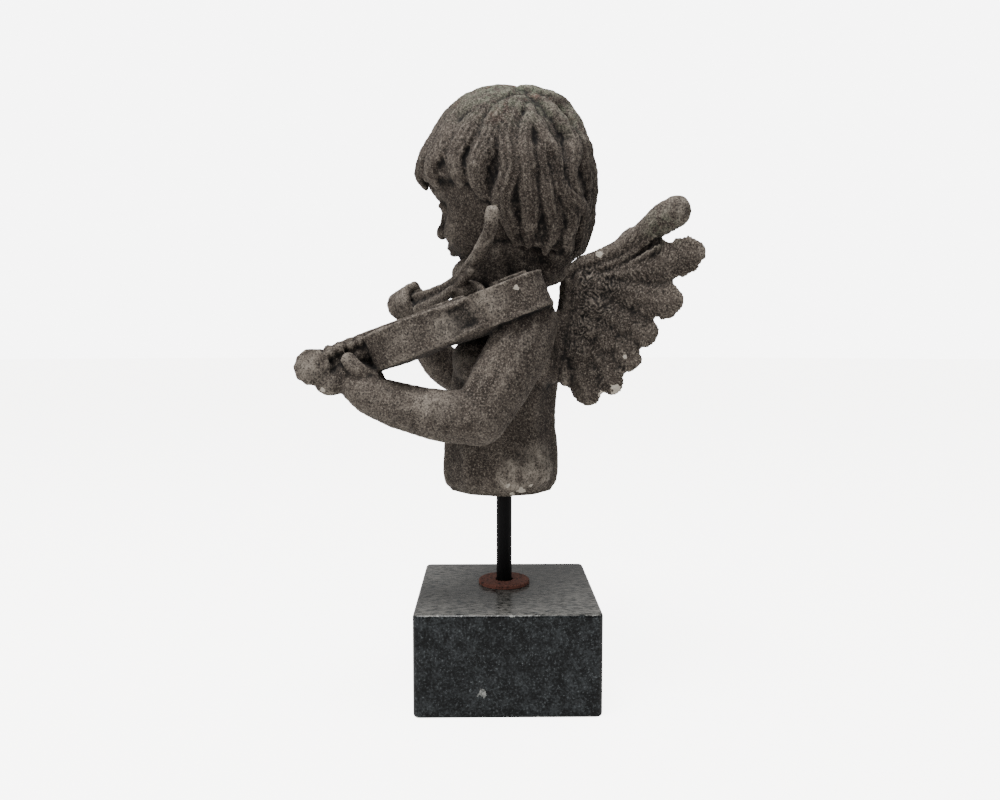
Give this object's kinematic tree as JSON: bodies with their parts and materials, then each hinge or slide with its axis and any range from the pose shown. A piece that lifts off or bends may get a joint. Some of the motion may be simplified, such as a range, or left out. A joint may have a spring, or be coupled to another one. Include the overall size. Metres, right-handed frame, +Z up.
{
  "type": "cherub with violin statue on a rod and block",
  "caption": "Winged child playing a violin, cast in one and cut at the waist, held by an iron rod over a square stone block.",
  "frame": {"origin": "centre of the stone block's underside, on the surface that it stands on", "axes": "+Z up; the figure faces -Y; its left side, with the violin, is towards +X"},
  "size_m": [0.1355, 0.2094, 0.341],
  "materials": {
    "cast_stone": "worn cast stone, dark weathered skin with paler rubbed places",
    "black_iron": "blackened rod",
    "rusty_iron": "rusted flat washer",
    "dark_granite": "honed dark speckled granite"
  },
  "bodies": {
    "root": {"cherub": "cast_stone", "iron_rod": "black_iron", "washer": "rusty_iron", "stone_block": "dark_granite"}
  },
  "joints": []
}
